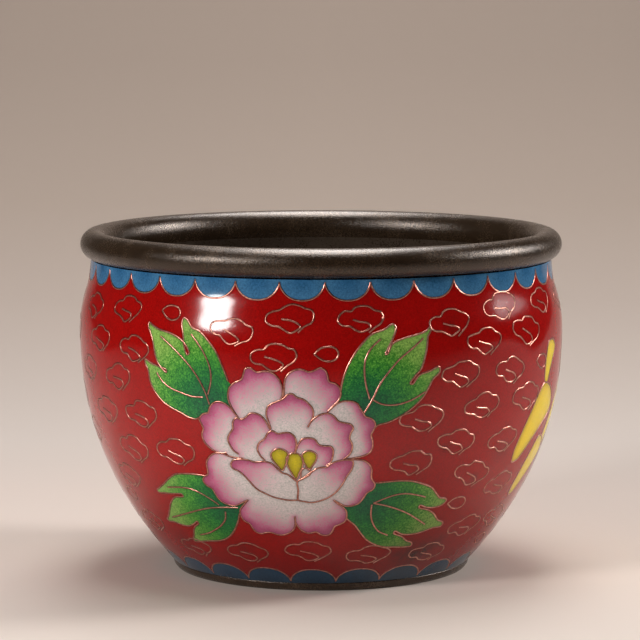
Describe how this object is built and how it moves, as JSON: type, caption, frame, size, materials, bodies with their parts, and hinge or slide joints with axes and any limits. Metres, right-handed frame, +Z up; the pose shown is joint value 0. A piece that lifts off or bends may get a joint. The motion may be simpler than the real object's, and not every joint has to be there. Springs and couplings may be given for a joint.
{
  "type": "cloisonne bowl",
  "caption": "Small round cloisonne bowl with a dark rolled metal lip, a red enamelled wall with flowers and clouds, and a narrow ring foot.",
  "frame": {"origin": "centre of the foot, in the plane that the foot stands on", "axes": "+Z up along the bowl's axis; the peony that the picture shows faces -Y; +X is to its right"},
  "size_m": [0.0904, 0.0904, 0.0635],
  "materials": {
    "patinated_metal": "dark brown patina with fine pits, half polished",
    "red_enamel": "polished fired enamel with fine pits",
    "coloured_enamel": "polished fired enamel in blue, green, pink, white and yellow",
    "wire_metal": "bright copper wire, ground flush and polished"
  },
  "bodies": {
    "root": {"metal_body": "patinated_metal", "enamel_coat": "red_enamel"}
  },
  "joints": []
}
